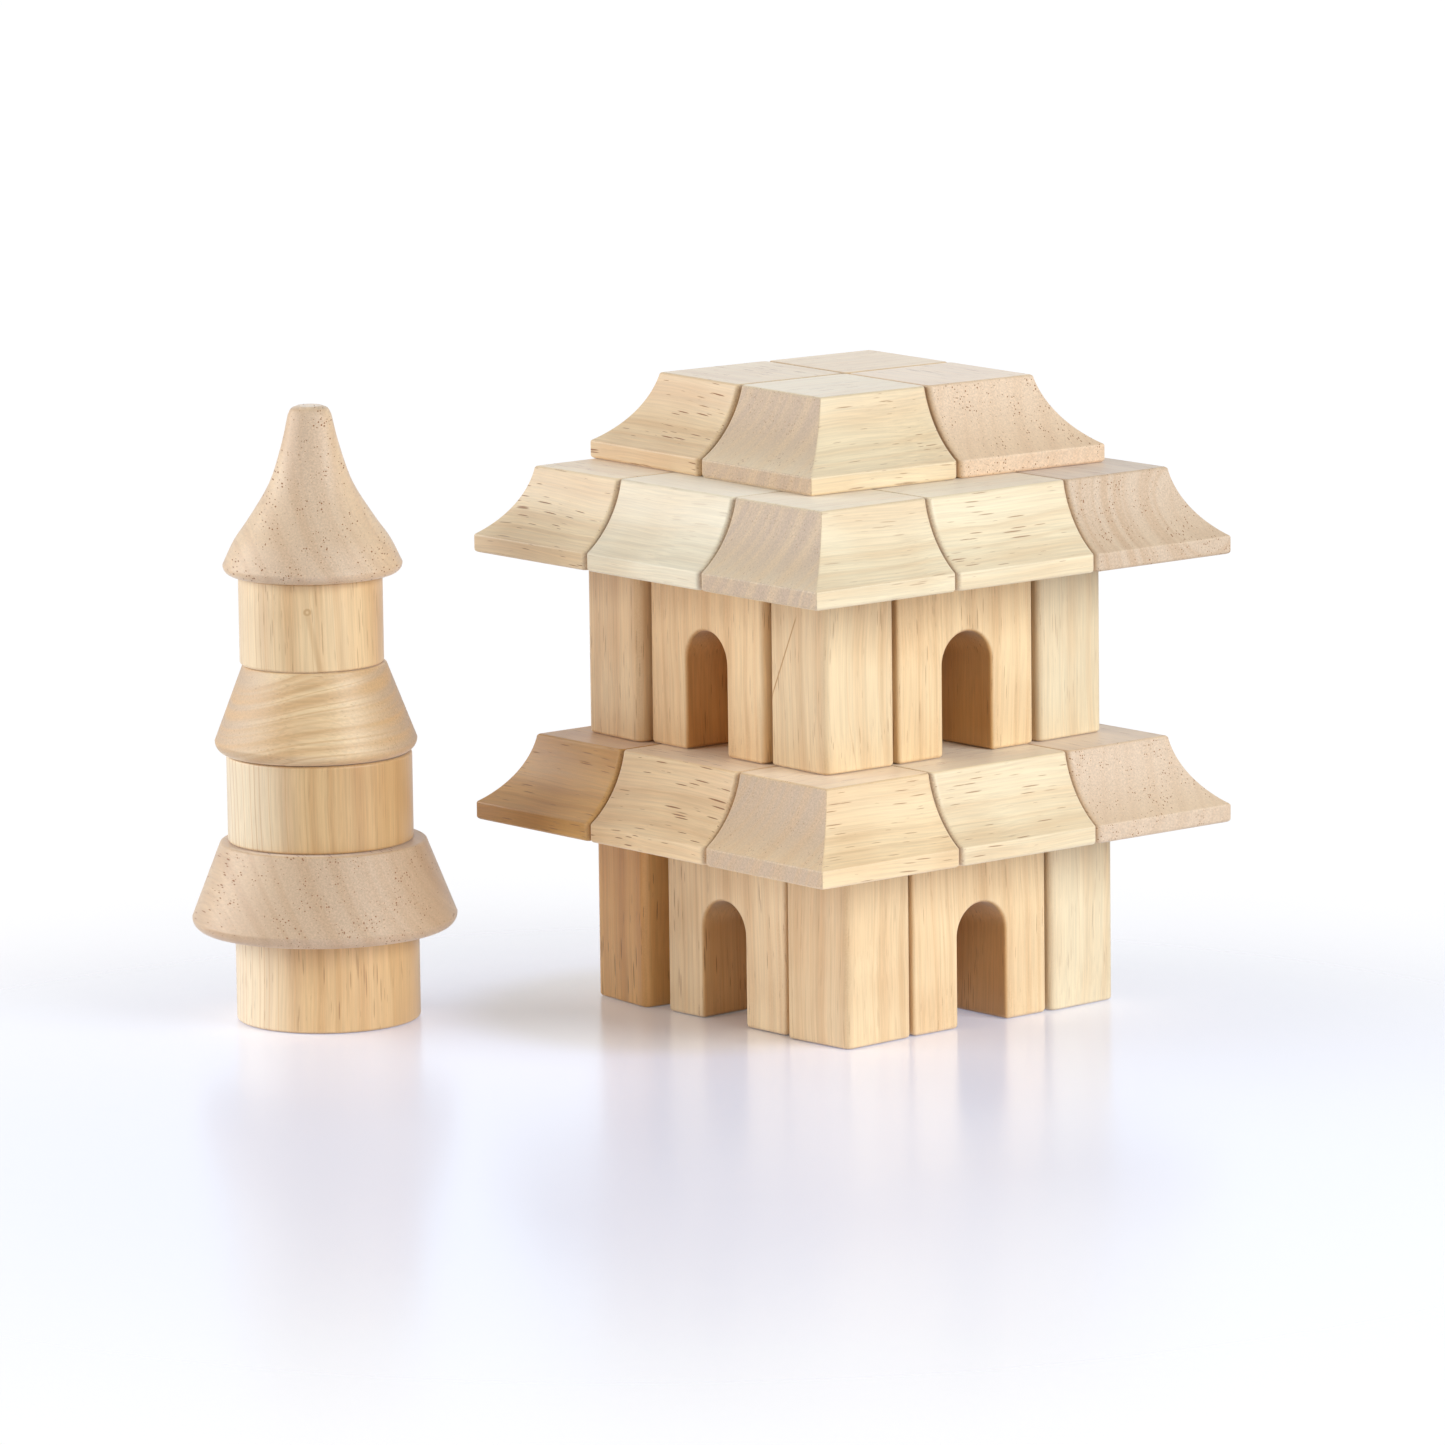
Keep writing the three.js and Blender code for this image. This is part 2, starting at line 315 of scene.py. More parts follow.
def lathe_mesh(name, profile):
    """Turned piece from (radius, z, edge) rows; its end faces are closed by flat caps."""
    rings = []
    for radius, z, edge in profile:
        ring = []
        for i in range(LATHE_STEPS):
            angle = 2 * math.pi * i / LATHE_STEPS
            ring.append(((radius * math.cos(angle), radius * math.sin(angle), z), edge))
        rings.append(ring)
    return loft(name, rings)


def turned_profile(height, foot, top, rim):
    """Straight flank between a rounded foot and a lightly rounded top."""
    axis_foot = Vector((0, 0))
    foot_corner = Vector((foot, 0))
    low_flank = Vector((foot, rim))
    top_corner = Vector((top, height))
    axis_top = Vector((0, height))
    bottom = rounded_corner(axis_foot, foot_corner, low_flank, rim, 2 * ARC_STEPS)
    upper = rounded_corner(low_flank, top_corner, axis_top, DRUM_EDGE, ARC_STEPS)
    pairs = marked(bottom, rim) + marked(upper, DRUM_EDGE)
    return [(p.x, p.y, edge) for p, edge in pairs]


def spire_profile(height, foot):
    """A round rim, a hollow flank that steepens towards the tip, and a small blunt tip."""
    rim_centre = Vector((foot - SPIRE_RIM, SPIRE_RIM))
    rim = arc_points(rim_centre, SPIRE_RIM, -math.pi / 2, 0, RIM_STEPS)
    flank_end = (SPIRE_TIP, height - SPIRE_CROWN)
    flank = spline([rim[-1], *SPIRE_FLANK, flank_end], FLANK_STEPS)
    shoulder = (SPIRE_TIP - CROWN_SHOULDER[0], height - CROWN_SHOULDER[1])
    crown = spline([flank[-1], shoulder, (SPIRE_TIP - CROWN_INSET, height)], CROWN_STEPS)
    return [(p.x, p.y, 0.0) for p in rim + flank[1:] + crown[1:]]


def spline(stations, steps):
    """Catmull-Rom curve through the stations."""
    points = [Vector(s) for s in stations]
    points = [2 * points[0] - points[1]] + points + [2 * points[-1] - points[-2]]
    curve = []
    for a, b, c, d in zip(points, points[1:], points[2:], points[3:]):
        for i in range(steps):
            t = i / steps
            curve.append(0.5 * (2 * b + (c - a) * t + (2 * a - 5 * b + 4 * c - d) * t**2
                                + (3 * b - a - 3 * c + d) * t**3))
    return curve + [points[-2]]


# ---- Rubberwood --------------------------------------------------------------------------------

# Long-grain tones, light and dark, and the end-grain tone, for each slot of the record
TONES = {
    "cream_wood": ((0.85, 0.62, 0.36), (0.68, 0.43, 0.215), (0.58, 0.41, 0.265)),
    "pale_wood": ((0.87, 0.71, 0.475), (0.77, 0.56, 0.335), (0.58, 0.42, 0.29)),
    "rosy_wood": ((0.77, 0.57, 0.375), (0.62, 0.415, 0.26), (0.71, 0.53, 0.38)),
}
PORE_TONE = (0.30, 0.125, 0.045)
DOORWAY_PAINTED_SHADE = (0.93, 0.77, 0.55)  # painted shade: the doorway's faces are painted darker and browner, as shade and warm bounce light inside the arch
FLAW_TONE = (0.52, 0.29, 0.12)
# painted sheen: the pale tone laid on the side of a drum that faces the left lamp
PAINTED_SHEEN_TONE = (0.90, 0.76, 0.54)

# Open vessels, the pores of the wood
PORE_PITCH = 0.72  # mean distance between vessels, mm
PORE_LENGTH = 18  # how much longer than wide a vessel's cut is along the grain
PORE_RADIUS = 0.37  # of the widest, as a share of the pitch
NARROWEST = 0.25  # as a share of the widest
STREAK_PITCH = 1.7  # the same for the few long dark lines
STREAK_RADIUS = 0.13
STREAK_SHIFT = (37, 11, 5)  # sets the lines' pattern apart from the pores'
WALL_PORES = 0.45  # posts and arch blocks show fewer pores than the other blocks

# Noise frequencies, per millimetre; where there are three, the last runs along the grain
SWAY_SCALE = 0.016
SWAY_REACH = (6, 6, 0)  # how far the grain wanders sideways, mm
BAND_SCALE = 0.24
LINE_SCALE = 0.2
FIBRE_SCALE = (1.6, 1.6, 0.03)
PATCH_SCALE = (0.16, 0.16, 0.03)  # of places with more pores
CLOUD_SCALE = 0.035
SPECKLE_SCALE = 1.9

# Strengths
BAND_STRENGTH = 0.5
LINE_STRENGTH = 0.4
# how strongly that painted sheen shows
PAINTED_SHEEN_STRENGTH = 0.8
LONG_ROUGHNESS = (0.38, 0.46)
END_ROUGHER = 0.12
PORE_ROUGHER = 0.2
FIBRE_RELIEF = 0.5  # as a share of a pore's depth
BUMP_STRENGTH = 0.35
BUMP_DEPTH = 0.2  # mm
SHEEN = 0.4


class Shader:
    """A material's node tree, with short calls for the nodes that the wood needs."""

    def __init__(self, name):
        self.material = bpy.data.materials.new(name)
        self.material.use_nodes = True
        self.tree = self.material.node_tree
        self.tree.nodes.clear()

    def add(self, kind, inputs, **settings):
        node = self.tree.nodes.new(kind)
        for key, value in settings.items():
            setattr(node, key, value)
        for key, value in inputs.items():
            if isinstance(value, bpy.types.NodeSocket):
                self.tree.links.new(value, node.inputs[key])
            else:
                node.inputs[key].default_value = value
        return node

    def math(self, operation, *values):
        node = self.add("ShaderNodeMath", dict(enumerate(values)), operation=operation)
        return node.outputs[0]

    def vector(self, operation, *values):
        node = self.add("ShaderNodeVectorMath", dict(enumerate(values)), operation=operation)
        return node.outputs[0]

    def scale(self, vector, factor):
        inputs = {0: vector, "Scale": factor}
        return self.add("ShaderNodeVectorMath", inputs, operation="SCALE").outputs[0]

    def length(self, vector):
        node = self.add("ShaderNodeVectorMath", {0: vector}, operation="LENGTH")
        return node.outputs["Value"]

    def noise(self, where, scale, detail=2.0, roughness=0.5):
        inputs = {"Vector": where, "Scale": scale, "Detail": detail, "Roughness": roughness}
        return self.add("ShaderNodeTexNoise", inputs)

    def ring_noise(self, radius, scale, detail):
        inputs = {"W": radius, "Scale": scale, "Detail": detail}
        return self.add("ShaderNodeTexNoise", inputs, noise_dimensions="1D").outputs[0]

    def blend(self, factor, a, b, blend_type="MIX"):
        inputs = {0: factor, 6: a, 7: b}
        node = self.add("ShaderNodeMix", inputs, data_type="RGBA", blend_type=blend_type)
        return node.outputs[2]

    def fit(self, value, low, high, out_low=0.0, out_high=1.0):
        """Smooth step from out_low at low to out_high at high."""
        inputs = {"Value": value, 1: low, 2: high, 3: out_low, 4: out_high}
        node = self.add("ShaderNodeMapRange", inputs, interpolation_type="SMOOTHSTEP")
        return node.outputs[0]


def colour(rgb):
    return (*rgb, 1.0)


def vessels(shader, grain, pitch, radius, cluster):
    """Open pores: thin dashes along the grain on a long face and dots on an end face."""
    stretch = (1 / pitch, 1 / pitch, 1 / pitch / PORE_LENGTH)
    where = shader.vector("MULTIPLY", grain, stretch)
    cells = shader.add("ShaderNodeTexVoronoi", {"Vector": where, "Scale": 1.0}, feature="F1")
    pick = shader.add("ShaderNodeSeparateColor", {"Color": cells.outputs["Color"]})
    width = shader.fit(pick.outputs[0], 0.1, 1.0, NARROWEST * radius, radius)
    reach = shader.math("MULTIPLY", width, cluster)
    ratio = shader.math("DIVIDE", cells.outputs["Distance"], shader.math("ADD", reach, 0.001))
    return shader.fit(ratio, 1.0, 0.6)


def tinted(tones, shade, warm):
    """The tones made brighter or darker, and browner or paler."""
    filter_tone = (shade, shade * (1 - 0.08 * warm), shade * (1 - 0.2 * warm))
    return [tuple(t * f for t, f in zip(tone, filter_tone)) for tone in tones]


def painted_doorway_shade(shader, own, shift):
    """1 on the doorway's own faces of an arch block, where shade is painted, 0 elsewhere."""
    radius = DOOR_WIDTH / 2
    own = shader.vector("SUBTRACT", own, (shift, 0, DOOR_HEIGHT - radius))
    own = shader.vector("MAXIMUM", own, (-1000, 0, 0))
    own = shader.vector("MULTIPLY", own, (1, 0, 1))
    return shader.fit(shader.length(own), radius + 0.8, radius + 0.1)


def distance_along(shader, own, start, direction):
    """How far a place lies from start in that direction."""
    own = shader.vector("SUBTRACT", own, start)
    dot = shader.add("ShaderNodeVectorMath", {0: own, 1: direction}, operation="DOT_PRODUCT")
    return dot.outputs["Value"]


def mineral_line(shader, own, start, end):
    """1 on a thin straight line in the block's front face."""
    along = (Vector(end) - Vector(start)).normalized()
    across = Vector((along.z, 0, -along.x))
    aside = shader.math("ABSOLUTE", distance_along(shader, own, start, across))
    line = shader.fit(aside, 0.34, 0.1)
    below = shader.fit(distance_along(shader, own, start, along), -1.0, 2.0)
    above = shader.fit(distance_along(shader, own, end, along), 1.0, -2.0)
    return shader.math("MULTIPLY", line, shader.math("MULTIPLY", below, above))


def pin_knot(shader, own, bearing, height):
    """A tiny ringed knot at that height, and a faint streak that runs down from it."""
    level = (math.cos(bearing), math.sin(bearing), 0)
    aside = distance_along(shader, own, (0, 0, 0), level)
    rise = distance_along(shader, own, (0, 0, height), (0, 0, 1))
    place = shader.add("ShaderNodeCombineXYZ", {"X": aside, "Y": rise}).outputs[0]
    ring = shader.math("ABSOLUTE", shader.math("SUBTRACT", shader.length(place), 0.7))
    ring = shader.fit(ring, 0.6, 0.1, 0.0, 0.7)
    lean = shader.math("ADD", aside, shader.math("MULTIPLY", rise, 0.2))
    streak = shader.fit(shader.math("ABSOLUTE", lean), 1.3, 0.2, 0.0, 0.35)
    streak = shader.math("MULTIPLY", streak, shader.fit(rise, 1.0, -2.0, 0.3, 1.0))
    return shader.math("MAXIMUM", ring, streak)


def painted_sheen_side(shader, own, bearing):
    """0 to 1 towards the side of a turned piece that faces the left lamp, where a sheen is
    painted paler.
    """
    level = (math.cos(bearing), math.sin(bearing), 0)
    return shader.fit(distance_along(shader, own, (0, 0, 0), level), 12, 27)


# the bearing, for each drum, of its side that faces the left lamp and gets a painted sheen
PAINTED_SHEEN_SIDES = {
    "round_upper_drum_wood": math.radians(-108),
    "round_middle_drum_wood": math.radians(-105),
    "round_base_wood": math.radians(-110),
}

FLAWS = {
    "upper_post_front_right_wood":
        lambda shader, own: mineral_line(shader, own, (-11.8, 0, 17.6), (0, 0, 42.5)),
    "round_upper_drum_wood":
        lambda shader, own: pin_knot(shader, own, math.radians(50), 17),
}


def grain_places(shader, place, offset, turn):
    """A place in the block's own millimetres, and along its gently swaying grain."""
    own = shader.scale(place, 1 / MM)
    inputs = {"Vector": place, "Location": offset, "Rotation": turn}
    inputs["Scale"] = (1 / MM, 1 / MM, 1 / MM)
    straight = shader.add("ShaderNodeMapping", inputs).outputs[0]
    sway = shader.noise(straight, SWAY_SCALE, 1.5).outputs["Color"]
    return own, shader.vector("MULTIPLY_ADD", sway, SWAY_REACH, straight)


def end_grain_mask(shader, normal, turn):
    """1 on faces cut across the grain, 0 on faces cut along it."""
    inputs = {"Vector": normal, "Rotation": turn}
    facing = shader.add("ShaderNodeVectorRotate", inputs, rotation_type="EULER_XYZ").outputs[0]
    along = shader.add("ShaderNodeSeparateXYZ", {"Vector": facing}).outputs["Z"]
    return shader.fit(shader.math("ABSOLUTE", along), 0.3, 0.97)


def growth_rings(shader, grain, offset, pith, lean):
    """Broad growth bands and thin ring lines round the middle of the tree."""
    squeeze = (1, 1, lean)
    centre = [p - o * k for o, p, k in zip(offset, pith, squeeze)]
    radius = shader.length(shader.vector("MULTIPLY_ADD", grain, squeeze, centre))
    bands = shader.fit(shader.ring_noise(radius, BAND_SCALE, 2.0), 0.36, 0.68)
    lines = shader.math("SUBTRACT", shader.ring_noise(radius, LINE_SCALE, 0.0), 0.5)
    return bands, shader.fit(shader.math("ABSOLUTE", lines), 0.03, 0.0)


def open_pores(shader, grain, end_grain, pores, dots, streaks):
    """The pores, in patches, and a few long dark lines."""
    patches = shader.vector("MULTIPLY", grain, PATCH_SCALE)
    patches = shader.noise(patches, 1.0, 2.0).outputs[0]
    crowd = shader.fit(patches, 0.36, 0.66, 0.4, 1.05)
    holes = vessels(shader, grain, PORE_PITCH, PORE_RADIUS, crowd)
    shown = shader.math("MULTIPLY_ADD", end_grain, dots - pores, pores)
    holes = shader.math("MULTIPLY", holes, shown)
    far_grain = shader.vector("ADD", grain, STREAK_SHIFT)
    lines = vessels(shader, far_grain, STREAK_PITCH, STREAK_RADIUS, 1.0)
    return shader.math("MAXIMUM", holes, shader.math("MULTIPLY", lines, streaks))


def finish_wood(shader, base, fibre, holes, end_grain):
    """Sanded, unpainted wood of that colour, rougher on its end faces and in its pores."""
    roughness = shader.fit(fibre, 0.25, 0.75, *LONG_ROUGHNESS)
    for rougher, amount in ((end_grain, END_ROUGHER), (holes, PORE_ROUGHER)):
        roughness = shader.math("ADD", roughness, shader.math("MULTIPLY", rougher, amount))
    relief = shader.math("SUBTRACT", shader.math("MULTIPLY", fibre, FIBRE_RELIEF), holes)
    inputs = {"Height": relief, "Strength": BUMP_STRENGTH, "Distance": BUMP_DEPTH * MM}
    bump = shader.add("ShaderNodeBump", inputs)
    surface = {"Base Color": base, "Roughness": roughness, "Normal": bump.outputs[0]}
    surface.update({"IOR": 1.5, "Sheen Weight": SHEEN, "Sheen Roughness": SHEEN})
    body = shader.add("ShaderNodeBsdfPrincipled", surface)
    shader.add("ShaderNodeOutputMaterial", {"Surface": body.outputs[0]})


def rubberwood(name, tones, seed, turn, pores=0.7, dots=0.35, figure=1.0, streaks=0.2,
               doorway=None, pith=(46, 30, 12), lean=0.08):
    """Solid rubberwood, sawn so that its grain runs along the axis that turn brings to Z.
    pores, dots, figure and streaks say how strongly the piece shows dashes on its long faces,
    pore dots on its end faces, growth bands, and long dark lines. pith is how far the middle of
    the tree lies from the block's foot, across its grain, and lean how much that changes."""
    draw = random.Random(seed)
    offset = [draw.uniform(-400, 400) for _ in range(3)]
    light, dark, end_tone = (colour(t) for t in tones)
    shader = Shader(name)
    place = shader.add("ShaderNodeTexCoord", {})
    own, grain = grain_places(shader, place.outputs["Object"], offset, turn)
    end_grain = end_grain_mask(shader, place.outputs["Normal"], turn)
    bands, lines = growth_rings(shader, grain, offset, pith, lean)
    fibre = shader.vector("MULTIPLY", grain, FIBRE_SCALE)
    fibre = shader.noise(fibre, 1.0, 4.0, 0.7).outputs[0]
    cloud = shader.noise(grain, CLOUD_SCALE, 2.0).outputs[0]
    speckle = shader.noise(grain, SPECKLE_SCALE, 3.0, 0.7).outputs[0]
    speckle = shader.fit(speckle, 0.3, 0.75, 0.84, 1.1)

    tone = shader.math("MULTIPLY", bands, BAND_STRENGTH * figure)
    tone = shader.math("ADD", tone, shader.fit(cloud, 0.3, 0.75, -0.1, 0.45))
    base = shader.blend(tone, light, dark)
    # painted sheen: the side that faces the left lamp is painted paler
    if name in PAINTED_SHEEN_SIDES:
        pale = painted_sheen_side(shader, own, PAINTED_SHEEN_SIDES[name])
        pale = shader.math("MULTIPLY", pale, PAINTED_SHEEN_STRENGTH)
        base = shader.blend(pale, base, colour(PAINTED_SHEEN_TONE))
    base = shader.blend(shader.math("MULTIPLY", lines, LINE_STRENGTH * figure), base, dark)
    base = shader.scale(base, shader.fit(fibre, 0.3, 0.7, 0.89, 1.06))

    ends = shader.blend(shader.math("MULTIPLY", bands, BAND_STRENGTH * figure), end_tone, dark)
    base = shader.blend(end_grain, base, shader.scale(ends, speckle))
    holes = open_pores(shader, grain, end_grain, pores, dots, streaks)
    base = shader.blend(holes, base, colour(PORE_TONE))

    # painted highlight: the middle of each small rounded edge is painted towards the light tone
    edge_highlight = shader.add("ShaderNodeAttribute", {}, attribute_name="edge").outputs["Fac"]
    edge_highlight = shader.math("MULTIPLY", edge_highlight, shader.fit(speckle, 0.86, 1.08, 0.08, 0.4))
    base = shader.blend(edge_highlight, base, light)
    # painted shade: the doorway's faces are multiplied darker and browner, standing in for shade
    # and bounce light inside the arch
    if doorway is not None:
        doorway_shade = painted_doorway_shade(shader, own, doorway)
        base = shader.blend(doorway_shade, base, colour(DOORWAY_PAINTED_SHADE), blend_type="MULTIPLY")
    if name in FLAWS:
        base = shader.blend(FLAWS[name](shader, own), base, colour(FLAW_TONE))
    finish_wood(shader, base, fibre, holes, end_grain)
    return shader.material


# ---- Blocks ------------------------------------------------------------------------------------

GRAIN_UP = (0, 0, 0)
GRAIN_ALONG_X = (0, math.radians(-90), 0)
GRAIN_ALONG_Y = (math.radians(90), 0, 0)

SLOTS = {
    "lower_post_back_right": "pale_wood",
    "upper_post_back_right": "pale_wood",
    "lower_eave_middle_right": "pale_wood",
    "upper_eave_middle_right": "pale_wood",
    "upper_eave_middle_front": "pale_wood",
    "upper_eave_corner_front_right": "pale_wood",
    "roof_cap_front_right": "pale_wood",
    "upper_eave_corner_back_right": "rosy_wood",
    "lower_eave_corner_back_right": "rosy_wood",
    "roof_cap_back_right": "rosy_wood",
    "round_lower_skirt": "rosy_wood",
    "round_spire": "rosy_wood",
}

# What sets a block's colour apart from others of its wood, as (shade, warm): shade above 1 is
# brighter, warm above 0 is browner and below 0 is paler
TINTS = {
    "lower_arch_front": (1.06, -0.6),
    "lower_eave_corner_back_right": (1.03, 0.0),
    # partly this block's own browner wood, partly painted shade and warm bounce light under the
    # upper eave, beside the round tower
    "lower_eave_corner_front_left": (0.83, 2.7),
    "lower_eave_corner_front_right": (1.05, -0.4),
    "lower_eave_middle_front": (1.04, -0.2),
    # partly this post's own browner wood, partly painted shade and warm bounce light under the
    # eaves, beside the round tower
    "lower_post_front_left": (1.02, 2.4),
    "lower_post_back_right": (0.95, 0.1),
    "lower_post_front_right": (0.94, 0.0),
    "roof_cap_back_right": (1.12, 0.2),
    "roof_cap_front_left": (1.0, -0.5),
    "round_base": (0.92, 1.1),
    "round_lower_skirt": (0.87, 0.6),
    "round_middle_drum": (0.82, 1.3),
    "round_middle_skirt": (0.98, 0.0),
    "round_spire": (1.02, 0.3),
    "round_upper_drum": (1.02, 0.2),
    "upper_arch_front": (1.11, 0.0),
    "upper_arch_right": (1.04, 0.0),
    "upper_eave_corner_back_right": (0.97, 0.0),
    "upper_eave_corner_front_left": (1.09, -1.0),
    "upper_eave_corner_front_right": (1.02, -0.2),
    "upper_eave_middle_front": (1.06, -1.1),
    "upper_eave_middle_right": (1.03, -0.2),
    "upper_post_front_left": (1.07, 0.0),
    "upper_post_back_right": (0.95, 0.0),
    "upper_post_front_right": (1.0, -0.5),
}

# What sets a block's grain apart from the others'
CHARACTER = {
    "lower_post_front_left": {"pores": 0.8, "figure": 1.5, "streaks": 0.4},
    "upper_eave_middle_front": {"pores": 0.2, "figure": 0.5, "streaks": 0.05},
    "upper_post_back_right": {"pores": 0.3},
    "lower_post_back_right": {"pores": 0.25},
    "lower_eave_corner_front_left": {"pores": 0.7, "streaks": 0.9},
    "lower_eave_middle_front": {"pores": 1.0, "streaks": 0.7},
    "upper_eave_corner_front_left": {"pores": 0.9, "streaks": 0.6},
    "roof_cap_front_left": {"pores": 1.0, "streaks": 0.9},
    "upper_eave_corner_back_right": {"dots": 1.2, "figure": 1.5, "pith": (-20, 10, 12)},
    "lower_eave_corner_back_right": {"dots": 1.3, "figure": 0.5},
    "lower_eave_corner_front_right": {"figure": 0.7},
    "roof_cap_front_right": {"figure": 0.8, "dots": 0.5},
    "roof_cap_back_right": {"dots": 1.3, "figure": 0.5},
    "upper_eave_corner_front_right": {"pores": 0.4},
    "round_middle_skirt": {"pores": 0.25, "figure": 2.0, "streaks": 0.1,
                           "pith": (-12, 40, 15), "lean": 0.4},
    "round_lower_skirt": {"pores": 1.2, "dots": 1.0, "figure": 0.9},
    "round_base": {"pores": 0.5, "figure": 1.2, "streaks": 0.4},
    "round_middle_drum": {"pores": 0.15, "figure": 1.3, "streaks": 0.1},
    "round_upper_drum": {"pores": 0.4, "figure": 1.2, "streaks": 0.4},
    "round_spire": {"pores": 1.0, "dots": 1.7, "figure": 0.8},
    "lower_arch_front": {"pores": 0.7},
    "lower_post_front_right": {"pores": 0.25, "streaks": 0.1},
}

# Turned skirts and the spire are cut across the grain: their grain lies level, at this bearing
SKIRT_BEARINGS = {"round_lower_skirt": -22, "round_middle_skirt": 50, "round_spire": -35}


UPRIGHT = 0.02  # largest upward share of the normal of a face that counts as upright


def turn_of(node):
    """How far a square block is turned from the axes, from its upright CAD faces."""
    total = 0j
    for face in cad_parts[node].data.polygons:
        if abs(face.normal.z) < UPRIGHT:
            total += face.area * cmath.exp(4j * math.atan2(face.normal.y, face.normal.x))
    return cmath.phase(total) / 4


def measure(node, turn):
    """A node's foot centre in the row frame, and its size along its own axes in mm."""
    low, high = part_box(node)
    centre = Vector(((low.x + high.x) / 2, (low.y + high.y) / 2, low.z))
    spin = Matrix.Rotation(-turn, 3, "Z")
    own = [spin @ (v.co - centre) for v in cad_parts[node].data.vertices]
    spans = [max(p[k] for p in own) - min(p[k] for p in own) for k in range(3)]
    return centre, Vector(spans) / MM


def shape_block(node, size):
    """A block's mesh in its own axes, and the turn that brings its grain upright."""
    name = f"{node}_wood"
    if "_post_" in node:
        return post_mesh(name, size), GRAIN_UP
    if "_arch_" in node:
        return arch_mesh(name, size, DOOR_SHIFT.get(node, 0.0)), GRAIN_UP
    if "_middle_" in node and "eave" in node:
        return coved_middle_mesh(name, size, EAVE_COVE), GRAIN_ALONG_X
    if "_corner_" in node:
        return coved_corner_mesh(name, size, EAVE_COVE), GRAIN_ALONG_Y
    if "_cap_" in node:
        return coved_corner_mesh(name, size, CAP_COVE), GRAIN_ALONG_Y
    radius = size.x / 2
    if node == "round_spire":
        profile = spire_profile(size.z, radius)
    elif node in SKIRT_TOP:
        profile = turned_profile(size.z, radius, SKIRT_TOP[node], SKIRT_RIM)
    else:
        profile = turned_profile(size.z, radius, radius, DRUM_EDGE)
    grain = GRAIN_UP
    if node in SKIRT_BEARINGS:
        grain = (math.radians(90), math.radians(SKIRT_BEARINGS[node] - 90), 0)
    return lathe_mesh(name, profile), grain


def quarter_turn(node):
    """The turn from the front side or the front right corner to where the block stands."""
    for spots in (CORNERS, SIDES):
        for spot, degrees in spots.items():
            if node.endswith(spot) and "_post_" not in node:
                return math.radians(degrees)
    return 0.0


def add_block(node, seed):
    turn = 0.0 if node.startswith("round_") else turn_of(node) + quarter_turn(node)
    centre, size = measure(node, turn)
    mesh, grain = shape_block(node, size)
    slot = SLOTS.get(node, "cream_wood")
    tones = tinted(TONES[slot], *TINTS.get(node, (1.0, 0.0)))
    character = dict(CHARACTER.get(node, {}))
    if "_post_" in node or "_arch_" in node:
        character.setdefault("pores", WALL_PORES)
    if "_arch_" in node:
        character["doorway"] = DOOR_SHIFT.get(node, 0.0)
    mesh.materials.append(rubberwood(mesh.name, tones, seed, grain, **character))
    block = bpy.data.objects.new(mesh.name, mesh)
    bpy.context.scene.collection.objects.link(block)
    block.matrix_world = Matrix.Translation(centre) @ Matrix.Rotation(turn, 4, "Z")
    smooth = block.modifiers.new("flat faces stay flat", "WEIGHTED_NORMAL")
    smooth.weight = 100
    smooth.keep_sharp = True
    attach(block, node)
    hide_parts(node)


for seed, node in enumerate(sorted(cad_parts)):
    add_block(node, seed)


# ---- Studio ------------------------------------------------------------------------------------

CAMERA_AZIMUTH = math.radians(50.289)
CAMERA_ELEVATION = math.radians(9.587)
CAMERA_ROLL = math.radians(-0.7227)
CAMERA_DISTANCE = 2.482
CAMERA_TARGET = Vector((-0.00076, 0.01348, 0.07899))
CAMERA_LENS = 221.5
SENSOR = 36.0
LAMP_AIM = Vector((0, 0, 0.08))
FLOOR_RADIUS = 0.6
FLOOR_CENTRE = (0.12, -0.1, 0)  # the table top fades away from here
FLOOR_FADE = 0.1  # distance at which it starts to fade
FADE_END = 0.4
FLOOR_TONE = (0.96, 0.95, 1.0)
FLOOR_GLOW = (0.06, 0.08, 0.15)
DARK_UNDER_PAGODA = (0.05, 0.075)  # distances over which the table's glow comes in
FLOOR_DROP = 0.1  # mm that the table lies below the blocks
BACKDROP_TONE = (0.99, 0.99, 1.0)
BACKDROP_LIGHT = 1.02  # as it is seen or mirrored
SOFT_LIGHT = 0.2  # as it falls on matt surfaces


def add_camera():
    around = Vector((math.cos(CAMERA_AZIMUTH), math.sin(CAMERA_AZIMUTH), 0))
    level = math.cos(CAMERA_ELEVATION)
    back = Vector((math.sin(CAMERA_AZIMUTH) * level, -math.cos(CAMERA_AZIMUTH) * level,
                   math.sin(CAMERA_ELEVATION)))
    up = back.cross(around)
    right = math.cos(CAMERA_ROLL) * around + math.sin(CAMERA_ROLL) * up
    top = back.cross(right)
    data = bpy.data.cameras.new("camera")
    data.sensor_width = SENSOR
    data.lens = CAMERA_LENS
    data.clip_end = 100
    camera = bpy.data.objects.new("camera", data)
    bpy.context.scene.collection.objects.link(camera)
    turn = Matrix((right, top, back)).transposed().to_4x4()
    camera.matrix_world = Matrix.Translation(CAMERA_TARGET + back * CAMERA_DISTANCE) @ turn
    bpy.context.scene.camera = camera


def add_softbox(name, place, width, height, power, tint):
    """A soft rectangular lamp at place that points at the towers."""
    data = bpy.data.lights.new(name, "AREA")
    data.shape = "RECTANGLE"
    data.size = width
    data.size_y = height
    data.energy = power
    data.color = tint
    lamp = bpy.data.objects.new(name, data)
    bpy.context.scene.collection.objects.link(lamp)
    aim = LAMP_AIM - Vector(place)
    lamp.location = place
    lamp.rotation_euler = aim.to_track_quat("-Z", "Y").to_euler()
    lamp.visible_camera = False


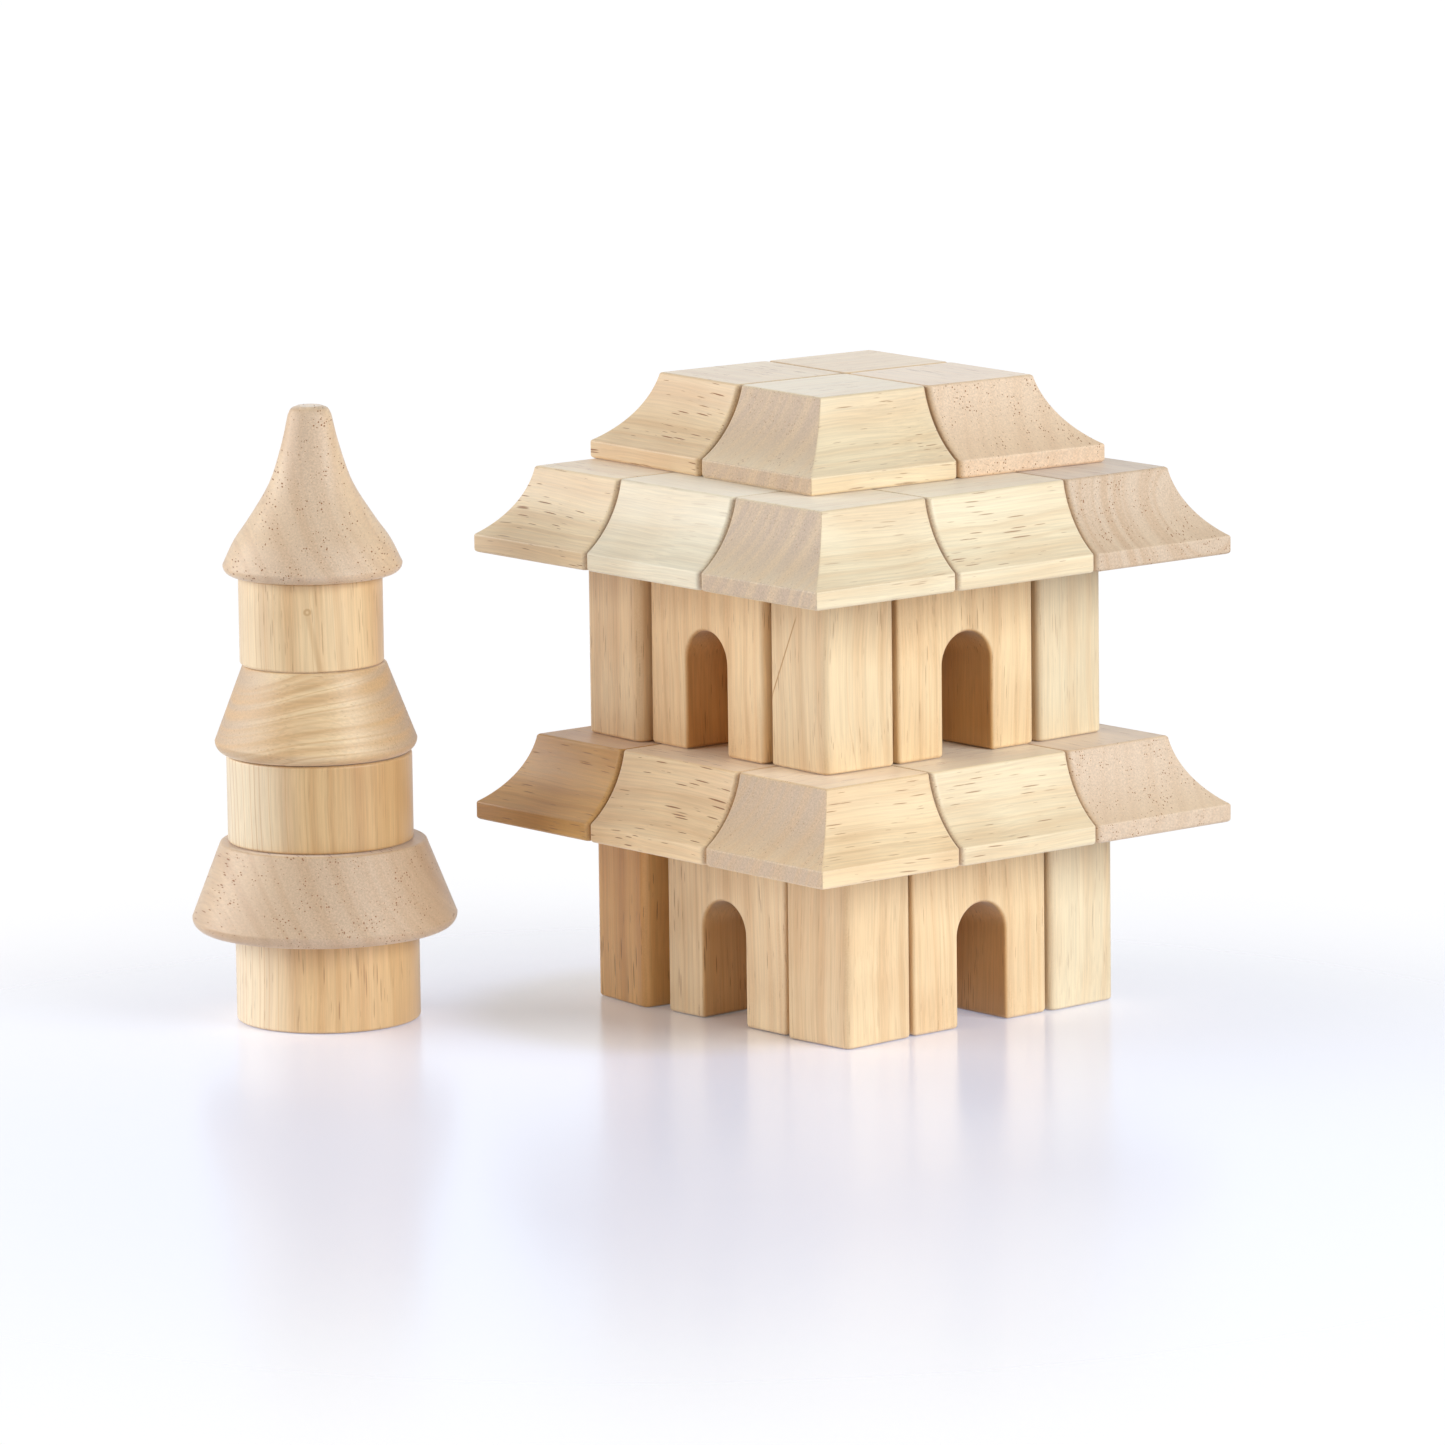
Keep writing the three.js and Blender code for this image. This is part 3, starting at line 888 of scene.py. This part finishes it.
def add_floor():
    """A pale, softly glossy table top whose rim fades into the white backdrop."""
    mesh = bpy.data.meshes.new("floor")
    maker = bmesh.new()
    bmesh.ops.create_circle(maker, cap_ends=True, segments=96, radius=FLOOR_RADIUS)
    maker.to_mesh(mesh)
    maker.free()
    shader = Shader("pale_table")
    place = shader.add("ShaderNodeTexCoord", {}).outputs["Object"]
    haze = shader.noise(place, 4.0, 3.0).outputs[0]
    roughness = shader.fit(haze, 0.2, 0.8, 0.16, 0.24)
    reach = shader.length(shader.vector("SUBTRACT", place, FLOOR_CENTRE))
    fade = shader.fit(reach, FLOOR_FADE, FADE_END, 1.0, 0.0)
    surface = {"Base Color": colour(FLOOR_TONE), "Roughness": roughness, "Alpha": fade}
    surface["Emission Color"] = colour(FLOOR_GLOW)
    surface["Emission Strength"] = shader.fit(shader.length(place), *DARK_UNDER_PAGODA)
    body = shader.add("ShaderNodeBsdfPrincipled", surface)
    shader.add("ShaderNodeOutputMaterial", {"Surface": body.outputs[0]})
    mesh.materials.append(shader.material)
    floor = bpy.data.objects.new("floor", mesh)
    bpy.context.scene.collection.objects.link(floor)
    floor.location.z = cad_low.z - FLOOR_DROP * MM


def add_world():
    """White all round where it is seen or mirrored, and a dimmer soft light on matt surfaces."""
    world = bpy.data.worlds.new("studio")
    world.use_nodes = True
    tree = world.node_tree
    backdrop = tree.nodes["Background"]
    backdrop.inputs["Color"].default_value = colour(BACKDROP_TONE)
    path = tree.nodes.new("ShaderNodeLightPath")
    level = tree.nodes.new("ShaderNodeMapRange")
    level.inputs["To Min"].default_value = BACKDROP_LIGHT
    level.inputs["To Max"].default_value = SOFT_LIGHT
    tree.links.new(path.outputs["Is Diffuse Ray"], level.inputs["Value"])
    tree.links.new(level.outputs[0], backdrop.inputs["Strength"])
    bpy.context.scene.world = world
    bpy.context.scene.view_settings.view_transform = "Standard"


add_camera()
add_softbox("key", (1.46, 0.38, 0.66), 1.1, 1.0, 25.5, (0.9, 0.965, 1.0))
add_softbox("left_fill", (-0.88, -1.12, 0.5), 1.6, 1.0, 23, (0.96, 0.985, 1.0))
add_floor()
add_world()
